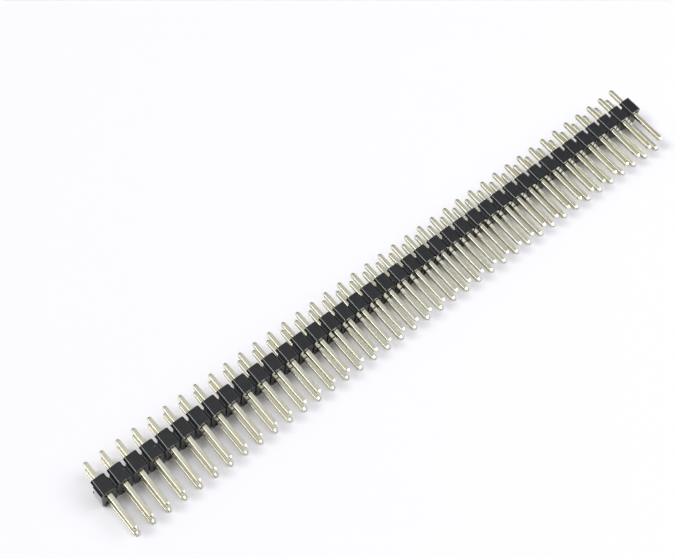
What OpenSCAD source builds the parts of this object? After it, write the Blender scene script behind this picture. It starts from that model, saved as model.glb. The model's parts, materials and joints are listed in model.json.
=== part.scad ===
// Double row pin header strip: one moulded insulator of octagonal modules,
// joined by thin break-off webs, with a square contact pin through each of
// its two holes per module. Feet along both long sides stand the insulator
// off the board, so that its board face lies at the bottom of a channel.
// The strip lies on its side, the way a loose strip comes to rest: on one
// lower edge of the insulator and on the contact ends of the lower pins.

/* [Strip] */
// Number of modules along the strip, each with one pin in either row
positions = 40; // [4:1:40]
// Distance between neighbouring modules
pitch = 2.54; // [2.4:0.01:3.96]
// Distance between the two rows of pins
row_pitch = 2.54; // [2.2:0.01:3.1]

/* [Insulator] */
// Width of the insulator across both rows
body_w = 4.5; // [4.3:0.05:6]
// Thickness of the insulator along the pins, with its feet
body_t = 2.54; // [2:0.02:4]
// Gap between the flanks of neighbouring modules
slot_w = 0.24; // [0.16:0.01:0.32]
// Corner cut of a module, measured along the strip
cut_x = 0.38; // [0.2:0.01:0.5]
// Corner cut of a module, measured across the strip
cut_z = 0.42; // [0.2:0.01:0.6]
// How far the break-off web lies behind the long sides
web_side = 0.55; // [0.45:0.01:1.4]
// How far the break-off web lies behind the contact face
web_front = 0.25; // [0.12:0.01:0.6]
// How far the break-off web lies behind the board face
web_back = 0.15; // [0.05:0.01:0.6]
// Height of the feet that stand the insulator off the board
foot_h = 0.7; // [0.2:0.01:0.9]
// Thickness of the feet, measured across the strip
foot_t = 0.42; // [0.3:0.01:0.5]
// Gap between the feet of neighbouring modules
foot_gap = 0.44; // [0.34:0.01:1]
// Diameter of the shallow round recess about each contact
well_d = 1.24; // [1:0.02:1.4]
// Depth of the shallow round recess about each contact
well_h = 0.1; // [0.05:0.01:0.3]

/* [Pins] */
// Side of the square pin
pin_w = 0.64; // [0.5:0.01:0.8]
// Length of the contact end, from the contact face to the tip
contact_len = 5.95; // [4:0.05:9]
// Length of the tail, from the plane of the feet to its end
tail_len = 2.9; // [2.4:0.1:5]
// Length of the bevel on the contact tip
tip_len = 0.4; // [0.3:0.05:0.9]
// Side of the flat end of the contact tip
tip_w = 0.4; // [0.2:0.02:0.5]
// Length of the bevel on the tail end
tail_bevel = 0.4; // [0.2:0.05:0.7]
// Side of the flat end of the tail
tail_w = 0.4; // [0.2:0.02:0.5]

/* [Hidden] */
$fn = 32;
plastic = "#26262a";
metal = "#cfc8a8";
over = 1;

// Modules: their width and the middle of the first one
mod_w = pitch - slot_w;
first_x = -(positions - 1) / 2 * pitch;

// Rows of pins above the lower long side of the insulator
row_z = [(body_w - row_pitch) / 2, (body_w + row_pitch) / 2];

// Feet, and the block of each module that they stand on
foot_w = pitch - foot_gap;
block_t = body_t - foot_h;

// Web between the modules
web_w = body_w - 2 * web_side;
web_t = block_t - web_front - web_back;

// The strip tips about the lower edge of its contact face until the lower
// row of contact ends touches the surface where their bevels begin
rest_drop = row_z[0] - pin_w / 2;
rest_reach = contact_len - tip_len;
tilt = atan(rest_drop / rest_reach);

// Middle of the strip as it lies, from the tips of the upper contact ends to
// the ends of the lower tails
front_y = -contact_len * cos(tilt) - (row_z[1] + tip_w / 2) * sin(tilt);
rear_y = (body_t + tail_len) * cos(tilt) - (row_z[0] - tail_w / 2) * sin(tilt);
mid_y = (front_y + rear_y) / 2;

function two(n) = str(n < 10 ? "0" : "", n);
function pins_name(i) = str("pins_", two(i + 1));

// From the strip's own frame (y = 0 on the contact face, z = 0 on the lower
// long side) to the way that it lies, with its middle above the origin
module lying() {
    translate([0, -mid_y, 0]) rotate([tilt, 0, 0]) children();
}

// Outline of one module, seen along its pins
module module_outline() {
    x0 = mod_w / 2;
    x1 = x0 - cut_x;
    polygon([
        [-x1, 0], [x1, 0], [x0, cut_z], [x0, body_w - cut_z],
        [x1, body_w], [-x1, body_w], [-x0, body_w - cut_z], [-x0, cut_z]
    ]);
}

// Upright along +y from y = 0
module along_y(len) {
    translate([0, len, 0]) rotate([90, 0, 0]) linear_extrude(len) children();
}

// Outline of the foot on the lower long side of a module
module foot_outline() {
    intersection() {
        module_outline();
        translate([-foot_w / 2, 0]) square([foot_w, foot_t]);
    }
}

// The two feet of one module, one on either long side
module feet() {
    translate([0, block_t, 0]) along_y(foot_h) {
        foot_outline();
        translate([0, body_w]) mirror([0, 1]) foot_outline();
    }
}

// One module with its two pin holes and the recesses about them
module insulator_module() {
    feet();
    difference() {
        along_y(block_t) difference() {
            module_outline();
            for (z = row_z) translate([0, z]) square(pin_w, center = true);
        }
        for (z = row_z) translate([0, well_h, z]) rotate([90, 0, 0])
            cylinder(d = well_d, h = well_h + over);
    }
}

// Bridge between two neighbouring modules, from flank to flank
module web() {
    translate([0, web_front, web_side]) cube([slot_w, web_t, web_w]);
}

module housing() {
    color(plastic) lying() {
        for (i = [0 : positions - 1])
            translate([first_x + i * pitch, 0, 0]) insulator_module();
        for (i = [0 : positions - 2])
            translate([first_x + i * pitch + mod_w / 2, 0, 0]) web();
    }
}

// Side outline of a pin: contact tip towards -y, tail towards +y
module pin_outline() {
    h = pin_w / 2;
    y0 = -contact_len;
    y1 = body_t + tail_len;
    polygon([
        [-tip_w / 2, y0], [tip_w / 2, y0], [h, y0 + tip_len], [h, y1 - tail_bevel],
        [tail_w / 2, y1], [-tail_w / 2, y1], [-h, y1 - tail_bevel], [-h, y0 + tip_len]
    ]);
}

// Square pin, bevelled on all four sides at either end
module pin() {
    intersection() {
        translate([0, 0, -pin_w / 2 - over]) linear_extrude(pin_w + 2 * over) pin_outline();
        translate([-pin_w / 2 - over, 0, 0]) rotate([0, 90, 0]) linear_extrude(pin_w + 2 * over) pin_outline();
    }
}

// The two pins of module i, one in either row
module pins(i) {
    color(metal) lying() for (z = row_z) translate([first_x + i * pitch, 0, z]) pin();
}

housing();
for (i = [0 : positions - 1])
    pins(i);
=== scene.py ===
"""Looks of a double row pin header strip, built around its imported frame.

The strip is one black moulded insulator of forty octagonal modules and eighty
square plated contacts. It lies on its side on a pale floor. Every piece is
made in the strip's own frame, in millimetres: x runs along the strip, y along
the contacts from the contact face (y = 0) to the tails, and z across the
insulator from its lower long side.
"""

import json
import logging
import math
import random
from dataclasses import dataclass
from enum import Enum
from typing import Any, Iterable, Mapping, Sequence, Union

import bmesh
import bpy
from mathutils import Matrix, Vector


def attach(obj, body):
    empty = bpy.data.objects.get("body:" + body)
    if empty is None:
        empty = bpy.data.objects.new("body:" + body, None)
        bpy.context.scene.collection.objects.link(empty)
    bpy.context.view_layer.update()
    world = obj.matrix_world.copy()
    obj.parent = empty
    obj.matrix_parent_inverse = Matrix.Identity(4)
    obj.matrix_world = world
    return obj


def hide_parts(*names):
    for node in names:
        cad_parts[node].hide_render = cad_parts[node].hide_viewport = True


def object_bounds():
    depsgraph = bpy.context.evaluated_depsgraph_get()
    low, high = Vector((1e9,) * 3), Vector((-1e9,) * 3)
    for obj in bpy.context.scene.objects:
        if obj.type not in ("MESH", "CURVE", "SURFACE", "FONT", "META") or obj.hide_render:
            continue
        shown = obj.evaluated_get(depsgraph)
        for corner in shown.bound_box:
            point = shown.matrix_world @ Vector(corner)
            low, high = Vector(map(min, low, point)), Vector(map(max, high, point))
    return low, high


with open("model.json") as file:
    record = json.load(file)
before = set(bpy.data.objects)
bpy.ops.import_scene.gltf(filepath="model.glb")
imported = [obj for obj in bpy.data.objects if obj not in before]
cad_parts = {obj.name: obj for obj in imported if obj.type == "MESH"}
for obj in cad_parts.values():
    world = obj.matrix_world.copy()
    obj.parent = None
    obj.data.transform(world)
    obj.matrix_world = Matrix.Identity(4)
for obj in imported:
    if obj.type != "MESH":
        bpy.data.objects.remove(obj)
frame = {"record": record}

LOG = logging.getLogger("strip")
# Metres in a millimetre
MM = 0.001
# Millimetres within which two places count as one
NEAR = 1e-4
# Steps to a millimetre on which a mesh's shared corners are matched
MATCH_STEPS = 1e5
# Seed of the small differences between contacts, to which a pair's number is added
SEED = 1700
ROOT = "root"
CAD_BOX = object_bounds()

Colour = tuple[float, float, float]
Plan = list[tuple[float, float]]
Feed = Union["Wire", float, Sequence[float]]


class Slot(Enum):
    """The material slots of the record."""

    INSULATOR = "insulator"
    CONTACTS = "contacts"


class Mark(Enum):
    """Marks that faces carry for their finish, as values from zero to one."""

    FLAT = 0.0
    CORNER = 0.5
    FULL = 1.0

    def midway(self, other: "Mark") -> float:
        """Value halfway to another mark, to tell the two apart."""
        return (self.value + other.value) / 2


# ---------------------------------------------------------------- shader maths


class Wire:
    """One output of a shader node, on which maths is written as expressions."""

    def __init__(self, graph: "Graph", socket: bpy.types.NodeSocket) -> None:
        """Keeps the graph that the socket belongs to.

        Args:
            graph: Graph that new nodes are added to.
            socket: Output socket that this wire starts from.
        """
        self.graph = graph
        self.socket = socket

    def _math(self, operation: str, *values: Feed) -> "Wire":
        """Adds one Math node.

        Args:
            operation: Name of the Math operation.
            values: Its inputs, in order.

        Returns:
            The wire of the result.
        """
        return self.graph.add("ShaderNodeMath", {"operation": operation}, dict(enumerate(values)))

    def __add__(self, other: Feed) -> "Wire":
        """Sum."""
        return self._math("ADD", self, other)

    __radd__ = __add__

    def __sub__(self, other: Feed) -> "Wire":
        """Difference."""
        return self._math("SUBTRACT", self, other)

    def __rsub__(self, other: Feed) -> "Wire":
        """Difference, with this wire taken away."""
        return self._math("SUBTRACT", other, self)

    def __mul__(self, other: Feed) -> "Wire":
        """Product."""
        return self._math("MULTIPLY", self, other)

    __rmul__ = __mul__

    def __truediv__(self, other: Feed) -> "Wire":
        """Quotient."""
        return self._math("DIVIDE", self, other)

    def __rtruediv__(self, other: Feed) -> "Wire":
        """Quotient, with this wire below."""
        return self._math("DIVIDE", other, self)

    def floor(self) -> "Wire":
        """Whole number below."""
        return self._math("FLOOR", self)

    def above(self, limit: Feed) -> "Wire":
        """One where this is more than the limit, else zero."""
        return self._math("GREATER_THAN", self, limit)

    def at_most(self, other: Feed) -> "Wire":
        """The smaller of the two."""
        return self._math("MINIMUM", self, other)

    def at_least(self, other: Feed) -> "Wire":
        """The larger of the two."""
        return self._math("MAXIMUM", self, other)

    def ease(self, low: float, high: float) -> "Wire":
        """Smooth step.

        Args:
            low: Value that gives zero.
            high: Value that gives one.

        Returns:
            The wire of a value from zero to one.
        """
        return self.graph.add(
            "ShaderNodeMapRange",
            {"interpolation_type": "SMOOTHSTEP", "clamp": True},
            {"Value": self, "From Min": low, "From Max": high},
        )


class Graph:
    """Node tree of one material or of the world."""

    # Sockets of a Mix node that mixes colours
    MIX_FACTOR = 0
    MIX_FIRST = 6
    MIX_SECOND = 7
    MIX_RESULT = 2
    # Share of a speck's radius that is full before its rim fades
    SPECK_CORE = 0.6

    def __init__(self, tree: bpy.types.NodeTree) -> None:
        """Empties the tree.

        Args:
            tree: Node tree to build in.
        """
        self.tree = tree
        tree.nodes.clear()

    def add(
        self,
        kind: str,
        settings: Mapping[str, Any],
        inputs: Mapping[Union[int, str], Feed],
        output: Union[int, str] = 0,
    ) -> Wire:
        """Adds one node: its settings first, then its inputs.

        Args:
            kind: Node type, such as "ShaderNodeTexNoise".
            settings: Properties of the node.
            inputs: Values or wires by the name or number of the socket.
            output: Socket that the returned wire starts from.

        Returns:
            The wire of that output.
        """
        node = self.tree.nodes.new(kind)
        for name, value in settings.items():
            setattr(node, name, value)
        for key, value in inputs.items():
            if isinstance(value, Wire):
                self.tree.links.new(value.socket, node.inputs[key])
            else:
                node.inputs[key].default_value = value
        out = node.outputs[output] if node.outputs else None
        return Wire(self, out)

    def place(self, lie: "Lie") -> Wire:
        """Place in the strip's own frame, in millimetres.

        Args:
            lie: How the strip lies.

        Returns:
            The wire of the place.
        """
        at = self.add("ShaderNodeTexCoord", {}, {}, "Object")
        return self.add(
            "ShaderNodeMapping",
            {"vector_type": "TEXTURE"},
            {
                "Vector": at,
                "Location": lie.place.to_translation(),
                "Rotation": lie.place.to_euler(),
                "Scale": (MM, MM, MM),
            },
        )

    def stretch(self, vector: Wire, factors: Sequence[float]) -> Wire:
        """Vector times factors, axis by axis.

        Args:
            vector: Wire of the vector.
            factors: Factor for each axis.

        Returns:
            The wire of the stretched vector.
        """
        return self.add("ShaderNodeVectorMath", {"operation": "MULTIPLY"}, {0: vector, 1: factors})

    def axes(self, vector: Wire) -> tuple[Wire, Wire, Wire]:
        """The three parts of a vector."""
        split = self.add("ShaderNodeSeparateXYZ", {}, {0: vector})
        return tuple(Wire(self, out) for out in split.socket.node.outputs)

    def noise(self, vector: Wire, scale: float, detail: float, rough: float) -> Wire:
        """Cloudy noise about 0.5.

        Args:
            vector: Where it is read.
            scale: Blobs to a millimetre.
            detail: Number of finer layers.
            rough: Strength of the finer layers.

        Returns:
            The wire of the value.
        """
        return self.add(
            "ShaderNodeTexNoise",
            {},
            {"Vector": vector, "Scale": scale, "Detail": detail, "Roughness": rough},
        )

    def dice(self, *values: Feed) -> Wire:
        """Random value, alike wherever the whole numbers given are; the last one tells draws apart."""
        cell = self.add("ShaderNodeCombineXYZ", {}, dict(enumerate(values)))
        return self.add("ShaderNodeTexWhiteNoise", {"noise_dimensions": "3D"}, {"Vector": cell}, "Value")

    def blend(self, factor: Feed, first: Feed, second: Feed) -> Wire:
        """Mix of two colours.

        Args:
            factor: Zero for the first colour, one for the second.
            first: First colour.
            second: Second colour.

        Returns:
            The wire of the mixed colour.
        """
        return self.add(
            "ShaderNodeMix",
            {"data_type": "RGBA", "clamp_factor": True},
            {
                self.MIX_FACTOR: factor,
                self.MIX_FIRST: self._colour(first),
                self.MIX_SECOND: self._colour(second),
            },
            self.MIX_RESULT,
        )

    def tint(self, colour: Feed, amount: Feed) -> Wire:
        """Colour times a value."""
        return self.add("ShaderNodeVectorMath", {"operation": "SCALE"}, {0: colour, "Scale": amount})

    @staticmethod
    def _colour(value: Feed) -> Feed:
        """Adds the fourth number that a colour socket wants."""
        return value if isinstance(value, Wire) else (*value, 1.0)

    def specks(self, vector: Wire, scale: float, share: float, radius: float) -> Wire:
        """Small scattered dots.

        Args:
            vector: Where they are read.
            scale: Cells to a millimetre.
            share: Share of the cells that hold a dot.
            radius: Radius of a dot, in cells.

        Returns:
            The wire of a mask, one inside a dot.
        """
        near = self.add("ShaderNodeTexVoronoi", {}, {"Vector": vector, "Scale": scale}, "Distance")
        cell = self.add("ShaderNodeSeparateColor", {}, {0: Wire(self, near.socket.node.outputs["Color"])})
        return (1 - near.ease(radius * self.SPECK_CORE, radius)) * cell.above(1 - share)

    def bump(self, height: Wire, depth: float, strength: float) -> Wire:
        """Normal of a bumpy surface.

        Args:
            height: Height from zero to one.
            depth: Depth that a height of one stands for, in millimetres.
            strength: Strength of the bump.

        Returns:
            The wire of the normal.
        """
        return self.add(
            "ShaderNodeBump", {}, {"Strength": strength, "Distance": depth * MM, "Height": height}
        )

    def surface(self, shader: Wire) -> None:
        """Ends the tree at its output node."""
        kind = "World" if isinstance(self.tree.id_data, bpy.types.World) else "Material"
        self.add(f"ShaderNodeOutput{kind}", {}, {"Surface": shader})


def new_graph(name: str) -> tuple[bpy.types.Material, Graph]:
    """Starts a node material.

    Args:
        name: Name of the material.

    Returns:
        The material and its graph.
    """
    material = bpy.data.materials.new(name)
    material.use_nodes = True
    return material, Graph(material.node_tree)


# -------------------------------------------------------------------- finishes


@dataclass(frozen=True)
class MouldedPlastic:
    """Black glass-filled plastic as it leaves the mould, with a gloss on the strip's two end walls."""

    body: Colour = (0.010, 0.011, 0.012)
    bloom: Colour = (0.019, 0.019, 0.019)
    edge: Colour = (0.030, 0.030, 0.032)
    dust: Colour = (0.30, 0.29, 0.27)
    roughness: float = 0.16
    roughest: float = 0.9
    specular: float = 0.52
    end_roughness: float = 0.06
    relief: float = 0.003
    relief_strength: float = 0.3
    pitch: float = 2.54
    end_from: float = 50.64
    end_fade: float = 0.03

    def material(self, lie: "Lie") -> bpy.types.Material:
        """Builds the material.

        Args:
            lie: How the strip lies.

        Returns:
            The finished material.
        """
        material, g = new_graph("moulded_plastic")
        at = g.place(lie)
        x = g.axes(at)[0]
        shot = g.dice((x / self.pitch).floor(), 3.0, 1.0)
        clouds = g.noise(at, scale=0.9, detail=3.0, rough=0.6)
        flow = g.noise(g.stretch(at, (3.0, 0.8, 1.2)), scale=1.0, detail=3.0, rough=0.55)
        fibre = g.noise(g.stretch(at, (9.0, 3.0, 6.0)), scale=2.0, detail=2.0, rough=0.6)
        grain = g.noise(at, scale=26.0, detail=2.0, rough=0.6)
        dust = g.specks(at, scale=1.6, share=0.035, radius=0.10)
        lint = g.specks(at, scale=7.0, share=0.03, radius=0.22)
        rounded = g.add("ShaderNodeAttribute", {"attribute_name": "rounded"}, {}, "Fac")

        haze = clouds.ease(0.40, 0.72) * 0.45 + flow.ease(0.45, 0.75) * 0.35 + fibre.ease(0.55, 0.8) * 0.2
        colour = g.blend(haze, self.body, self.bloom)
        colour = g.tint(colour, 0.86 + shot * 0.28)
        colour = g.blend(rounded * (0.35 + clouds * 0.4), colour, self.edge)
        colour = g.blend((dust * 0.8 + lint * 0.25).at_most(1.0), colour, self.dust)

        rough = self.roughness + (clouds - 0.5) * 0.06 + (fibre - 0.5) * 0.05 + (shot - 0.5) * 0.03
        rough = (rough - rounded * 0.02 + dust * 0.3).at_most(self.roughest)
        height = grain * 0.5 + fibre * 0.35 + flow * 0.25 + dust * 0.6
        aside = x.at_least(0 - x)
        shader = g.add(
            "ShaderNodeBsdfPrincipled",
            {},
            {
                "Base Color": colour,
                "Roughness": rough,
                "Specular IOR Level": self.specular,
                "Coat Weight": aside.ease(self.end_from, self.end_from + self.end_fade),
                "Coat Roughness": self.end_roughness,
                "Normal": g.bump(height, self.relief, self.relief_strength),
            },
        )
        g.surface(shader)
        return material


@dataclass(frozen=True)
class PlatedMetal:
    """Pale gold plating on square pins: rougher sides darkened with painted shade, duller tails, stained
    ends, and corners lightened with a painted highlight.
    """

    plate: Colour = (0.80, 0.77, 0.58)
    pale: Colour = (0.86, 0.84, 0.68)
    dull: Colour = (0.62, 0.595, 0.45)
    stain: Colour = (0.40, 0.35, 0.25)
    # Painted shade: darker colour of the pin sides, standing in for the shaded floor and neighbouring
    # pins that the sides reflect
    flank: Colour = (0.47, 0.445, 0.335)
    # Painted highlight: bright colour laid on the rounded corners to strengthen their edge highlight
    # lines
    painted_corner_highlight: Colour = (0.92, 0.89, 0.72)
    roughness: float = 0.20
    smoothest: float = 0.12
    corner_roughness: float = 0.42
    drawn: tuple[float, float, float] = (1.0, 0.008, 1.0)
    relief: float = 0.002
    relief_strength: float = 0.3
    pitch: float = 2.54
    middle: float = 2.25
    flank_from: float = 0.298
    flank_fade: float = 0.02
    tail_from: float = 2.54
    tail_before: float = 0.4
    tail_after: float = 0.6

    def material(self, lie: "Lie") -> bpy.types.Material:
        """Builds the material.

        Args:
            lie: How the strip lies.

        Returns:
            The finished material.
        """
        material, g = new_graph("plated_metal")
        at = g.place(lie)
        x, y, z = g.axes(at)
        pin = (x / self.pitch).floor()
        row = z.above(self.middle)
        aside = x - (pin + 0.5) * self.pitch
        flank = aside.at_least(0 - aside).ease(self.flank_from, self.flank_from + self.flank_fade)
        batch = g.dice(pin, row, 5.0)
        shade = g.dice(pin, row, 9.0)
        draw = g.noise(g.stretch(at, self.drawn), scale=6.5, detail=2.0, rough=0.6)
        fine = g.noise(g.stretch(at, self.drawn), scale=22.0, detail=2.0, rough=0.6)
        cloud = g.noise(g.stretch(at, (1.0, 0.3, 1.0)), scale=1.3, detail=2.0, rough=0.5)
        pits = g.specks(at, scale=3.0, share=0.04, radius=0.12)
        tail = y.ease(self.tail_from - self.tail_before, self.tail_from + self.tail_after)
        kind = g.add("ShaderNodeAttribute", {"attribute_name": "face_kind"}, {}, "Fac")
        end = kind.above(Mark.CORNER.midway(Mark.FULL))
        corner = kind.above(Mark.FLAT.midway(Mark.CORNER)) - end

        colour = g.blend(cloud.ease(0.35, 0.7) * 0.6 + batch * 0.3, self.plate, self.pale)
        colour = g.blend(draw.ease(0.52, 0.78) * (0.25 + shade * 0.3), colour, self.dull)
        colour = g.blend(fine.ease(0.50, 0.72) * 0.3, colour, self.dull)
        colour = g.blend(tail * 0.35, colour, self.dull)
        # Painted shade: the pin sides are blended towards the darker flank colour
        colour = g.blend(flank * (0.75 + fine * 0.3), colour, self.flank)
        colour = g.blend(pits * 0.5 + end * 0.35, colour, self.stain)
        # Painted highlight: the rounded corners are lightened towards this colour
        colour = g.blend(corner * 0.8, colour, self.painted_corner_highlight)
        rough = self.roughness + (draw - 0.5) * 0.06 + (fine - 0.5) * 0.05 + (cloud - 0.5) * 0.04
        rough = rough + tail * 0.05 + flank * 0.10 + end * 0.1 + pits * 0.2
        rough = rough.at_least(self.smoothest)
        rough = rough + corner * (self.corner_roughness - rough)
        height = draw * 0.8 + cloud * 0.2 - pits * 0.3
        shader = g.add(
            "ShaderNodeBsdfPrincipled",
            {},
            {
                "Base Color": colour,
                "Metallic": 1.0,
                "Roughness": rough,
                "Normal": g.bump(height, self.relief, self.relief_strength),
            },
        )
        g.surface(shader)
        return material


@dataclass(frozen=True)
class PaleFloor:
    """Plain pale studio floor that keeps the shadow of what lies on it."""

    colour: Colour = (0.762, 0.759, 0.776)
    roughness: float = 0.6
    lift: float = 0.06

    def material(self) -> bpy.types.Material:
        """Builds the material.

        Returns:
            The finished material.
        """
        material, g = new_graph("pale_floor")
        look = {"Color": (*self.colour, 1.0), "Roughness": self.roughness}
        matt = g.add("ShaderNodeBsdfDiffuse", {}, look)
        path = g.add("ShaderNodeLightPath", {}, {}, "Is Camera Ray")
        seen = path.at_least(Wire(g, path.socket.node.outputs["Is Glossy Ray"]))
        seen = seen.at_least(Wire(g, path.socket.node.outputs["Is Transmission Ray"]))
        glow = g.add("ShaderNodeEmission", {}, {"Color": (1.0, 1.0, 1.0, 1.0), "Strength": self.lift})
        dark = g.add("ShaderNodeEmission", {}, {"Strength": 0.0})
        extra = g.add("ShaderNodeMixShader", {}, {0: seen, 1: dark, 2: glow})
        g.surface(g.add("ShaderNodeAddShader", {}, {0: matt, 1: extra}))
        return material


# --------------------------------------------------------------- mesh building


class Shell:
    """Mesh under construction, in millimetres of the strip's own frame."""

    # How far large faces outweigh small ones where their normals meet; Blender takes up to 100
    FLAT_WEIGHT = 100

    def __init__(self, mark: str) -> None:
        """Starts an empty mesh.

        Args:
            mark: Name under which the faces carry their marks.
        """
        self.bm = bmesh.new()
        self.mark_name = mark
        self.mark = self.bm.faces.layers.float.new(mark)
        self.known: dict[tuple[int, int, int], bmesh.types.BMVert] = {}

    def corner(self, x: float, y: float, z: float) -> bmesh.types.BMVert:
        """Vertex at a place, made once.

        Args:
            x: Place along the strip.
            y: Place along the contacts.
            z: Height across the insulator.

        Returns:
            The vertex.
        """
        key = (round(x * MATCH_STEPS), round(y * MATCH_STEPS), round(z * MATCH_STEPS))
        if key not in self.known:
            self.known[key] = self.bm.verts.new((x, y, z))
        return self.known[key]

    def face(self, points: Iterable[Sequence[float]]) -> bmesh.types.BMFace:
        """Face through points that may be shared with other faces."""
        return self.bm.faces.new([self.corner(*p) for p in points])

    def loop(self, y: float, plan: Plan) -> list[bmesh.types.BMVert]:
        """Loop of new vertices at one place along the contacts.

        Args:
            y: Place along the contacts.
            plan: Points across them.

        Returns:
            The vertices.
        """
        return [self.bm.verts.new((x, y, z)) for x, z in plan]

    def skin(
        self, first: Sequence[bmesh.types.BMVert], second: Sequence[bmesh.types.BMVert]
    ) -> list[bmesh.types.BMFace]:
        """Faces between two loops of as many vertices.

        Args:
            first: First loop.
            second: Second loop.

        Returns:
            The new faces.
        """
        count = len(first)
        return [
            self.bm.faces.new((first[k], first[(k + 1) % count], second[(k + 1) % count], second[k]))
            for k in range(count)
        ]

    def even_flats(self, mesh: bpy.types.Mesh) -> None:
        """Gives plain faces their own normal, and marked faces normals that join them smoothly.

        Args:
            mesh: The finished mesh.
        """
        soft = [item.value > Mark.CORNER.value for item in mesh.attributes[self.mark_name].data]
        plains: list[list[Vector]] = [[] for _ in mesh.vertices]
        mixed = [Vector() for _ in mesh.vertices]
        for face in mesh.polygons:
            for v in face.vertices:
                if soft[face.index]:
                    mixed[v] += face.normal * face.area
                else:
                    plains[v].append(face.normal.copy())
        normals = []
        for face in mesh.polygons:
            for v in face.vertices:
                if not soft[face.index]:
                    normals.append(face.normal.copy())
                elif plains[v]:
                    normals.append(max(plains[v], key=face.normal.dot))
                else:
                    normals.append(mixed[v].normalized())
        mesh.normals_split_custom_set(normals)

    def piece(
        self, name: str, place: Matrix, material: bpy.types.Material, marked_round: bool = False
    ) -> bpy.types.Object:
        """Ends the mesh as a smooth-shaded object of the scene.

        Args:
            name: Name of the object.
            place: Place of the strip's own frame.
            material: Finish of the whole piece.
            marked_round: Whether the marked faces are the rounded ones.

        Returns:
            The object.
        """
        bmesh.ops.recalc_face_normals(self.bm, faces=self.bm.faces)
        bmesh.ops.transform(self.bm, matrix=place @ Matrix.Scale(MM, 4), verts=self.bm.verts)
        for face in self.bm.faces:
            face.smooth = True
        mesh = bpy.data.meshes.new(name)
        self.bm.to_mesh(mesh)
        self.bm.free()
        mesh.materials.append(material)
        piece = bpy.data.objects.new(name, mesh)
        bpy.context.scene.collection.objects.link(piece)
        if marked_round:
            self.even_flats(mesh)
            return piece
        flats = piece.modifiers.new("even_flats", "WEIGHTED_NORMAL")
        flats.mode = "FACE_AREA"
        flats.weight = self.FLAT_WEIGHT
        flats.keep_sharp = True
        settle(piece)
        return piece


def settle(piece: bpy.types.Object) -> None:
    """Turns the piece's modifiers into mesh.

    Args:
        piece: The piece.
    """
    deps = bpy.context.evaluated_depsgraph_get()
    deps.update()
    shown = piece.evaluated_get(deps)
    mesh = bpy.data.meshes.new_from_object(shown, preserve_all_data_layers=True, depsgraph=deps)
    mesh.name = piece.name
    old = piece.data
    piece.modifiers.clear()
    piece.data = mesh
    bpy.data.meshes.remove(old)


def rounded_square(
    half: float, radius: float, centre: tuple[float, float], steps: int = 3, roundest: float = 0.98
) -> Plan:
    """Outline of a square with rounded corners.

    Args:
        half: Half its side.
        radius: Radius of its corners.
        centre: Its middle.
        steps: Faces round each corner.
        roundest: Largest share of half the side that a radius takes.

    Returns:
        The points, in order.
    """
    radius = min(radius, half * roundest)
    inner = half - radius
    plan = []
    for corner, (sx, sz) in enumerate(((1, 1), (-1, 1), (-1, -1), (1, -1))):
        for k in range(steps + 1):
            turn = (corner + k / steps) * math.pi / 2
            plan.append(
                (
                    centre[0] + sx * inner + radius * math.cos(turn),
                    centre[1] + sz * inner + radius * math.sin(turn),
                )
            )
    return plan


# ------------------------------------------------------------------- the strip


@dataclass(frozen=True)
class Lie:
    """How the strip lies: the place of its own frame in the row's frame."""

    place: Matrix

    @classmethod
    def read(cls, record: Mapping[str, Any], width: float) -> "Lie":
        """Works the place out from the way the board seat faces and the middle of the contact face.

        Args:
            record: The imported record.
            width: Width of the insulator, in millimetres.

        Returns:
            The lie.
        """
        mounts = {m["name"]: m for m in record["mounts"]}
        along = Vector((1.0, 0.0, 0.0))
        out = Vector(mounts["board_seat"]["axis"]).normalized()
        across = along.cross(out)
        origin = Vector(mounts["mating_contacts"]["pos_m"]) - across * (width / 2 * MM)
        turn = Matrix((along, out, across)).transposed().to_4x4()
        return cls(Matrix.Translation(origin) @ turn)


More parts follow.
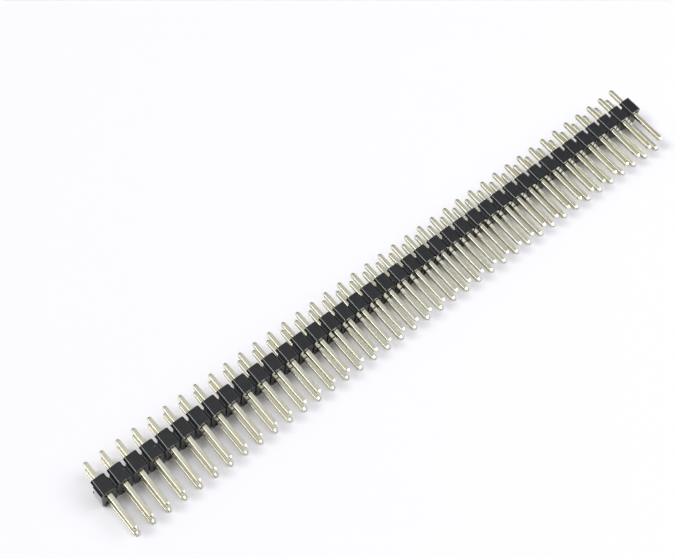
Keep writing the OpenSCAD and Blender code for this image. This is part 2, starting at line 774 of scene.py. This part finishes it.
@dataclass
class Insulator:
    """The moulded insulator: octagonal modules with feet, joined by webs.

    Edges that turn by more than sharp_turn, in degrees, are rounded, but for the foot of a recess.
    """

    positions: int = 40
    pitch: float = 2.54
    row_pitch: float = 2.54
    width: float = 4.5
    block: float = 1.84
    foot: float = 0.7
    foot_t: float = 0.42
    foot_gap: float = 0.44
    slot: float = 0.24
    cut_x: float = 0.38
    cut_z: float = 0.42
    well_d: float = 1.24
    well_h: float = 0.1
    web_side: float = 0.55
    web_front: float = 0.25
    web_back: float = 0.15
    web_groove: float = 0.02
    web_overlap: float = 0.02
    rounding: float = 0.07
    face_rounding: float = 0.04
    fine_rounding: float = 0.02
    round_steps: int = 4
    fine_steps: int = 3
    round_profile: float = 0.5
    sharp_turn: float = 25.0
    rim: int = 28

    def outline(self) -> Plan:
        """Outline of one module, seen along its contacts.

        Returns:
            The points, in order.
        """
        flank = (self.pitch - self.slot) / 2
        flat = flank - self.cut_x
        low, high, top = self.cut_z, self.width - self.cut_z, self.width
        right = [(flat, 0), (flank, low), (flank, high), (flat, top)]
        return [(-flat, 0), *right, (-flat, top), (-flank, high), (-flank, low)]

    def rows(self) -> tuple[float, float]:
        """Heights of the two rows of contacts."""
        return (self.width - self.row_pitch) / 2, (self.width + self.row_pitch) / 2

    def middles(self) -> list[float]:
        """Middles of the modules along the strip."""
        first = -(self.positions - 1) / 2 * self.pitch
        return [first + i * self.pitch for i in range(self.positions)]

    def _well(self, shell: Shell, z: float) -> list[bmesh.types.BMEdge]:
        """Builds one shallow round recess.

        Args:
            shell: Mesh to build in.
            z: Height of the contact in it.

        Returns:
            The edges of its rim.
        """
        ring = [
            (self.well_d / 2 * math.cos(a), z + self.well_d / 2 * math.sin(a))
            for a in (2 * math.pi * k / self.rim for k in range(self.rim))
        ]
        top = shell.loop(0.0, ring)
        floor = shell.loop(self.well_h, ring)
        shell.skin(top, floor)
        shell.bm.faces.new(floor)
        return [shell.bm.edges.get((top[k - 1], top[k])) for k in range(self.rim)]

    def _module(self, shell: Shell) -> None:
        """Builds one sharp-edged module about x = 0.

        Args:
            shell: Mesh to build in.
        """
        plan = self.outline()
        flank, flat = plan[2][0], plan[1][0]
        foot = (self.pitch - self.foot_gap) / 2
        width, cut, inner = self.width, self.cut_z, self.foot_t
        outer = cut * (foot - flat) / (flank - flat)
        block, sole = self.block, self.block + self.foot

        def wall(start: Sequence[float], stop: Sequence[float], near: float, far: float) -> None:
            """Face over the stretch from start to stop, between two places along the contacts."""
            ends = ((start, near), (stop, near), (stop, far), (start, far))
            shell.face([(x, y, z) for (x, z), y in ends])

        front = [shell.corner(x, 0.0, z) for x, z in plan]
        edges = [shell.bm.edges.new((front[k - 1], front[k])) for k in range(len(front))]
        for z in self.rows():
            edges += self._well(shell, z)
        bmesh.ops.triangle_fill(shell.bm, use_beauty=True, use_dissolve=False, edges=edges)
        for side in (-1, 1):
            wall((side * flank, cut), (side * flank, width - cut), 0, block)
        for up in (lambda z: z, lambda z: width - z):
            wall((-flat, up(0)), (flat, up(0)), 0, sole)
            wall((foot, up(inner)), (-foot, up(inner)), block, sole)
            tread = [(-flat, 0), (flat, 0), (foot, outer), (foot, inner), (-foot, inner), (-foot, outer)]
            shell.face([(x, sole, up(z)) for x, z in tread])
            for side in (-1, 1):
                cut_face = [
                    (flat, 0, 0), (flank, 0, cut), (flank, block, cut),
                    (foot, block, outer), (foot, sole, outer), (flat, sole, 0),
                ]
                shell.face([(side * x, y, up(z)) for x, y, z in cut_face])
                wall((side * foot, up(outer)), (side * foot, up(inner)), block, sole)
        board = [(foot, outer), (flank, cut), (flank, width - cut), (foot, width - outer)]
        board += [(foot, width - inner), (-foot, width - inner), (-foot, width - outer)]
        board += [(-flank, width - cut), (-flank, cut), (-foot, outer), (-foot, inner), (foot, inner)]
        shell.face([(x, block, z) for x, z in board])

    def _bevel(self, shell: Shell, edges: list[bmesh.types.BMEdge], offset: float, steps: int) -> None:
        """Rounds edges and marks the new faces.

        Args:
            shell: Mesh that they belong to.
            edges: The edges.
            offset: Distance that the rounding reaches from each edge.
            steps: Faces across it.
        """
        made = bmesh.ops.bevel(
            shell.bm, geom=edges, offset=offset, offset_type="OFFSET", segments=steps,
            profile=self.round_profile, affect="EDGES", clamp_overlap=False,
        )
        for face in made["faces"]:
            face[shell.mark] = Mark.FULL.value

    def _sharp(self, shell: Shell) -> list[bmesh.types.BMEdge]:
        """Edges that still turn sharply, but for the foot of a recess.

        Args:
            shell: Mesh that they belong to.

        Returns:
            The edges, without those inside a rounding.
        """
        low, high = self.well_h - NEAR, self.well_h + NEAR
        return [
            e for e in shell.bm.edges
            if e.is_manifold and e.calc_face_angle(0.0) > math.radians(self.sharp_turn)
            and not all(low < v.co.y < high for v in e.verts)
            and not all(f[shell.mark] > Mark.CORNER.value for f in e.link_faces)
        ]

    def _round_edges(self, shell: Shell) -> None:
        """Rounds the edges of the long sides well, the flanks and the outline less and the rest finely.

        Args:
            shell: Mesh of one module about x = 0.
        """
        bmesh.ops.recalc_face_normals(shell.bm, faces=shell.bm.faces)
        flank = (self.pitch - self.slot) / 2
        flat = flank - self.cut_x
        clear = self.well_d / 2 + 10 * NEAR

        def lies_on(edge: bmesh.types.BMEdge, x: float) -> bool:
            """Whether an edge runs along the contacts at a distance x from the module's middle."""
            return all(abs(abs(v.co.x) - x) < NEAR for v in edge.verts) and (
                abs(edge.verts[0].co.y - edge.verts[1].co.y) > self.well_h
            )

        def on_long_side(edge: bmesh.types.BMEdge) -> bool:
            """Whether an edge touches one of the module's long sides."""
            return min(v.co.z % self.width for v in edge.verts) < NEAR

        def on_outline(edge: bmesh.types.BMEdge) -> bool:
            """Whether an edge belongs to the outline of the contact face."""
            return all(
                v.co.y < NEAR and min(math.hypot(v.co.x, v.co.z - z) for z in self.rows()) > clear
                for v in edge.verts
            )

        edges = [e for e in self._sharp(shell) if lies_on(e, flat) and on_long_side(e)]
        self._bevel(shell, edges, self.rounding, self.round_steps)
        edges = [e for e in self._sharp(shell) if lies_on(e, flank)]
        self._bevel(shell, edges, self.face_rounding, self.fine_steps)
        edges = [e for e in self._sharp(shell) if on_outline(e)]
        self._bevel(shell, edges, self.face_rounding, self.round_steps)
        self._bevel(shell, self._sharp(shell), self.fine_rounding, self.fine_steps)
        bmesh.ops.dissolve_degenerate(shell.bm, dist=NEAR, edges=shell.bm.edges)

    def _web(self, shell: Shell, x: float) -> None:
        """Builds the break-off web about one slot, grooved along both sides.

        Args:
            shell: Mesh to build in.
            x: Middle of the slot.
        """
        half = self.slot / 2 + self.web_overlap
        low, high, g = self.web_side, self.width - self.web_side, self.web_groove
        plan = [(-half, low), (0, low + g), (half, low), (half, high), (0, high - g), (-half, high)]
        ends = [
            shell.loop(y, [(x + px, pz) for px, pz in plan])
            for y in (self.web_front, self.block - self.web_back)
        ]
        shell.skin(*ends)
        for end in ends:
            shell.bm.faces.new(end)

    def build(self, lie: Lie, material: bpy.types.Material) -> bpy.types.Object:
        """Builds the whole insulator.

        Args:
            lie: How the strip lies.
            material: Its finish.

        Returns:
            The piece.
        """
        shell = Shell("rounded")
        self._module(shell)
        self._round_edges(shell)
        one = list(shell.bm.verts) + list(shell.bm.edges) + list(shell.bm.faces)
        middles = self.middles()
        for x in middles[1:]:
            copy = bmesh.ops.duplicate(shell.bm, geom=one)["geom"]
            verts = [v for v in copy if isinstance(v, bmesh.types.BMVert)]
            bmesh.ops.translate(shell.bm, vec=(x - middles[0], 0, 0), verts=verts)
        bmesh.ops.translate(shell.bm, vec=(middles[0], 0, 0), verts=shell.bm.verts)
        for x in middles[:-1]:
            self._web(shell, x + self.pitch / 2)
        return shell.piece("insulator", lie.place, material, marked_round=True)

    def dress(self, piece: bpy.types.Object) -> None:
        """Ties the piece to its body and hides the imported part that it stands for.

        Args:
            piece: The piece.
        """
        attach(piece, ROOT)
        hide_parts("housing")


@dataclass
class ContactPair:
    """The two contacts of one module: square wire, bevelled at both ends.

    A bevel is a few rings along the contact. Each row of tail_bevel_rings gives the share of the
    bevel that is left there, how far the sides have drawn in and how much rounder the corners are.
    Contacts differ a little: play is the most that one is shifted across itself, turn the most that
    it leans about lean_about, in radians, and slide the most that it is shifted along itself. Across
    the rows, play and turn are only row_share of that.
    """

    number: int
    x: float
    rows: tuple[float, float]
    side: float = 0.64
    corner: float = 0.072
    contact: float = 5.95
    tail_end: float = 5.44
    tip_len: float = 0.4
    tip_side: float = 0.4
    tail_bevel: float = 0.4
    tail_side: float = 0.4
    tail_bevel_rings: tuple[tuple[float, float, float], ...] = (
        (1.0, 0.006, 0.0),
        (0.62, 0.028, 0.01),
        (0.30, 0.066, 0.02),
        (0.10, 0.102, 0.03),
    )
    straight_from: float = 0.03
    straight_to: float = 0.05
    straight_rings: tuple[float, ...] = (-0.3, 0.9, 2.9)
    play: float = 0.012
    turn: float = 0.0022
    lean_about: float = 1.0
    slide: float = 0.02
    row_share: float = 0.5
    blunting: float = 0.10
    tip_bevel: float = 0.86
    tip_bevel_less: float = 0.08
    tip_bevel_more: float = 0.06

    @property
    def node(self) -> str:
        """Name of the node that this pair stands for."""
        return f"pins_{self.number:02d}"

    def stations(self, dice: random.Random) -> list[tuple[float, float, float]]:
        """Places along one contact, with half its side and its corner radius there.

        Args:
            dice: Source of the small differences between contacts.

        Returns:
            The stations, from the contact tip to the tail's end.
        """
        h, tip, tail = self.side / 2, self.tip_side / 2, self.tail_side / 2
        y0, y1 = -self.contact, self.tail_end
        blunt = 1 + dice.uniform(-self.blunting, self.blunting)
        bevel = self.tip_len * (self.tip_bevel + dice.uniform(-self.tip_bevel_less, self.tip_bevel_more))
        c = self.corner
        tip_rings = [
            (y0, tip * blunt - 0.02, 0.02),
            (y0 + 0.008, tip * blunt - 0.005, 0.03),
            (y0 + 0.025, tip * blunt + 0.004, c),
            (y0 + bevel - self.straight_from, h - 0.010, c),
            (y0 + bevel, h - 0.003, c),
        ]
        straight = [y0 + bevel + self.straight_from, *self.straight_rings]
        straight.append(y1 - self.tail_bevel - self.straight_to)
        tail_rings = [
            (y1 - self.tail_bevel * left, h - drawn_in, c + rounder)
            for left, drawn_in, rounder in self.tail_bevel_rings
        ]
        tail_rings += [(y1 - 0.010, tail - 0.014, c + 0.03), (y1, tail - 0.040, c + 0.02)]
        return tip_rings + [(y, h, c) for y in straight] + tail_rings

    def _contact(self, shell: Shell, z: float, dice: random.Random) -> None:
        """Builds one contact.

        Args:
            shell: Mesh to build in.
            z: Height of its row.
            dice: Source of the small differences between contacts.
        """
        shift_x = dice.uniform(-self.play, self.play)
        shift_z = dice.uniform(-self.play, self.play) * self.row_share
        lean_x = dice.uniform(-self.turn, self.turn)
        lean_z = dice.uniform(-self.turn, self.turn) * self.row_share
        slide = dice.uniform(-self.slide, self.slide)
        rings = []
        for y, half, radius in self.stations(dice):
            reach = y - self.lean_about
            centre = (self.x + shift_x + lean_x * reach, z + shift_z + lean_z * reach)
            rings.append(shell.loop(y + slide, rounded_square(half, radius, centre)))
        a_quarter = len(rings[0]) // 4
        for first, second in zip(rings, rings[1:]):
            for k, face in enumerate(shell.skin(first, second)):
                flat = (k + 1) % a_quarter == 0
                face[shell.mark] = (Mark.FLAT if flat else Mark.CORNER).value
        for ring in (rings[0], rings[-1]):
            shell.bm.faces.new(ring)[shell.mark] = Mark.FULL.value

    def build(self, lie: Lie, material: bpy.types.Material) -> bpy.types.Object:
        """Builds both contacts as one piece.

        Args:
            lie: How the strip lies.
            material: Their finish.

        Returns:
            The piece.
        """
        dice = random.Random(SEED + self.number)
        shell = Shell("face_kind")
        for z in self.rows:
            self._contact(shell, z, dice)
        return shell.piece(f"contact_pair_{self.number:02d}", lie.place, material)

    def dress(self, piece: bpy.types.Object) -> None:
        """Ties the piece to its body and hides the imported part that it stands for.

        Args:
            piece: The piece.
        """
        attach(piece, ROOT)
        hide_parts(self.node)


# -------------------------------------------------------------------- the room


@dataclass(frozen=True)
class Heading:
    """Direction seen from the strip: azimuth from the front, and elevation."""

    azimuth: float
    elevation: float

    def vector(self) -> Vector:
        """Unit vector towards it."""
        a, e = math.radians(self.azimuth), math.radians(self.elevation)
        return Vector((math.sin(a) * math.cos(e), -math.cos(a) * math.cos(e), math.sin(e)))


@dataclass(frozen=True)
class Softbox:
    """Rectangular studio lamp that faces the strip."""

    name: str
    heading: Heading
    distance: float
    width: float
    height: float
    power: float

    def build(self, centre: Vector) -> None:
        """Hangs the lamp.

        Args:
            centre: Point that it faces.
        """
        data = bpy.data.lights.new(self.name, "AREA")
        data.energy = self.power
        data.shape = "RECTANGLE"
        data.size = self.width
        data.size_y = self.height
        lamp = bpy.data.objects.new(self.name, data)
        out = self.heading.vector()
        lamp.location = centre + out * self.distance
        lamp.rotation_euler = out.to_track_quat("Z", "Y").to_euler()
        bpy.context.scene.collection.objects.link(lamp)


@dataclass(frozen=True)
class Glow:
    """Round patch of the studio's walls that is lit, from its inner angle fading to its outer one."""

    heading: Heading
    level: float
    inner: float
    outer: float

    def add(self, graph: Graph, toward: Wire) -> Wire:
        """Brightness that the patch adds to the surroundings.

        Args:
            graph: Node tree of the world.
            toward: Direction that is looked in.

        Returns:
            The wire of the brightness.
        """
        inputs = {0: toward, 1: self.heading.vector()}
        near = graph.add("ShaderNodeVectorMath", {"operation": "DOT_PRODUCT"}, inputs, "Value")
        rim, full = (math.cos(math.radians(a)) for a in (self.outer, self.inner))
        return near.ease(rim, full) * self.level


@dataclass(frozen=True)
class Studio:
    """Pale floor, soft light and plain surroundings."""

    floor: PaleFloor = PaleFloor()
    floor_side: float = 6.0
    around: Colour = (0.95, 0.96, 1.0)
    level: float = 0.18
    glows: tuple[Glow, ...] = (
        Glow(Heading(203.0, 67.5), level=0.52, inner=10.0, outer=62.0),
        Glow(Heading(55.0, 51.0), level=3.6, inner=6.0, outer=26.0),
    )
    lamps: tuple[Softbox, ...] = (
        Softbox("key_lamp", Heading(246.0, 60.0), distance=3.6, width=1.36, height=1.84, power=96.0),
    )

    def build(self, centre: Vector) -> None:
        """Builds the floor, the lamps and the world.

        Args:
            centre: Middle of the strip.
        """
        bm = bmesh.new()
        bmesh.ops.create_grid(bm, x_segments=1, y_segments=1, size=self.floor_side / 2)
        mesh = bpy.data.meshes.new("floor")
        bm.to_mesh(mesh)
        bm.free()
        mesh.materials.append(self.floor.material())
        floor = bpy.data.objects.new("floor", mesh)
        bpy.context.scene.collection.objects.link(floor)
        for lamp in self.lamps:
            lamp.build(centre)
        world = bpy.data.worlds.new("studio")
        bpy.context.scene.world = world
        world.use_nodes = True
        g = Graph(world.node_tree)
        seen = g.add("ShaderNodeLightPath", {}, {}, "Is Camera Ray")
        toward = g.add("ShaderNodeTexCoord", {}, {}, "Generated")
        level = sum((glow.add(g, toward) for glow in self.glows), self.level)
        soft = g.add("ShaderNodeBackground", {}, {"Color": (*self.around, 1.0), "Strength": level})
        white = g.add("ShaderNodeBackground", {}, {"Color": (1.0, 1.0, 1.0, 1.0), "Strength": 1.0})
        g.surface(g.add("ShaderNodeMixShader", {}, {0: seen, 1: soft, 2: white}))


@dataclass(frozen=True)
class Viewpoint:
    """Camera that looks at the strip from the front left and above."""

    heading: Heading = Heading(-41.04, 57.10)
    offset: tuple[float, float, float] = (-5.23, 6.89, 0.02)
    distance: float = 187.76
    roll: float = 0.97
    lens: float = 69.72
    sensor: float = 36.0
    nearest: float = 0.01
    farthest: float = 20.0

    def build(self, centre: Vector) -> None:
        """Builds the camera and makes it the scene's own.

        Args:
            centre: Middle of the strip's box.
        """
        back = self.heading.vector()
        right = Vector((0, 0, 1)).cross(back).normalized()
        turn = Matrix((right, back.cross(right), back)).transposed()
        turn = turn @ Matrix.Rotation(math.radians(self.roll), 3, "Z")
        aim = centre + Vector(self.offset) * MM
        data = bpy.data.cameras.new("camera")
        data.lens = self.lens
        data.sensor_width = self.sensor
        data.clip_start = self.nearest
        data.clip_end = self.farthest
        camera = bpy.data.objects.new("camera", data)
        camera.matrix_world = Matrix.Translation(aim + back * self.distance * MM) @ turn.to_4x4()
        bpy.context.scene.collection.objects.link(camera)
        bpy.context.scene.camera = camera


def main() -> None:
    """Builds the strip, the room and the camera."""
    logging.basicConfig(level=logging.INFO, format="%(message)s")
    low, high = (Vector(corner) for corner in CAD_BOX)
    centre = (low + high) / 2
    insulator = Insulator()
    lie = Lie.read(frame["record"], insulator.width)
    piece = insulator.build(lie, MouldedPlastic(pitch=insulator.pitch).material(lie))
    insulator.dress(piece)
    LOG.info("%s: %d faces", piece.name, len(piece.data.polygons))

    metal = PlatedMetal(
        pitch=insulator.pitch, middle=insulator.width / 2, tail_from=insulator.block + insulator.foot
    ).material(lie)
    for i, x in enumerate(insulator.middles()):
        pair = ContactPair(i + 1, x, insulator.rows())
        piece = pair.build(lie, metal)
        pair.dress(piece)
        LOG.info("%s: %d faces", piece.name, len(piece.data.polygons))

    Studio().build(centre)
    Viewpoint().build(centre)
    bpy.context.scene.view_settings.view_transform = "Standard"
    LOG.info("boxes written")


if __name__ == "__main__":
    main()
